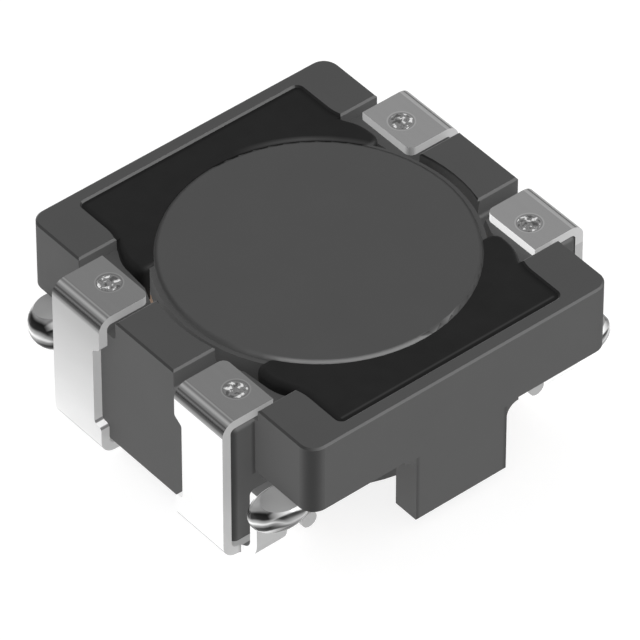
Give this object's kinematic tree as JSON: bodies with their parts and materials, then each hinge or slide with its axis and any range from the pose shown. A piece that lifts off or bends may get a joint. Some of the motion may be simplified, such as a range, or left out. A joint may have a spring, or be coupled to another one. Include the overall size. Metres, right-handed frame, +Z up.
{
  "type": "common mode choke",
  "caption": "Surface-mount common mode choke: a wound ferrite drum held by resin in a square ring frame with folded sheet terminals that end in solder feet.",
  "frame": {"origin": "middle of the seating plane under the solder feet", "axes": "+Z up from the board, X from one pair of terminals to the other, Y along the plain side walls"},
  "size_m": [0.0112, 0.0108, 0.0045],
  "materials": {
    "ferrite": "fine matte, dark grey",
    "resin": "black, slightly satin",
    "tinned_strip": "bright tin plate",
    "weld_metal": "bright, smooth from melting",
    "enamelled_wire": "copper under clear enamel, tinned at the ends"
  },
  "bodies": {
    "root": {"frame": "ferrite", "drum_core": "ferrite", "winding_lower": "enamelled_wire", "winding_upper": "enamelled_wire", "resin_bead_back": "resin", "resin_bead_front": "resin", "terminal_right_back": "tinned_strip", "terminal_left_back": "tinned_strip", "terminal_right_front": "tinned_strip", "terminal_left_front": "tinned_strip", "weld_nugget_right_back": "weld_metal", "weld_nugget_left_back": "weld_metal", "weld_nugget_right_front": "weld_metal", "weld_nugget_left_front": "weld_metal"}
  },
  "joints": []
}
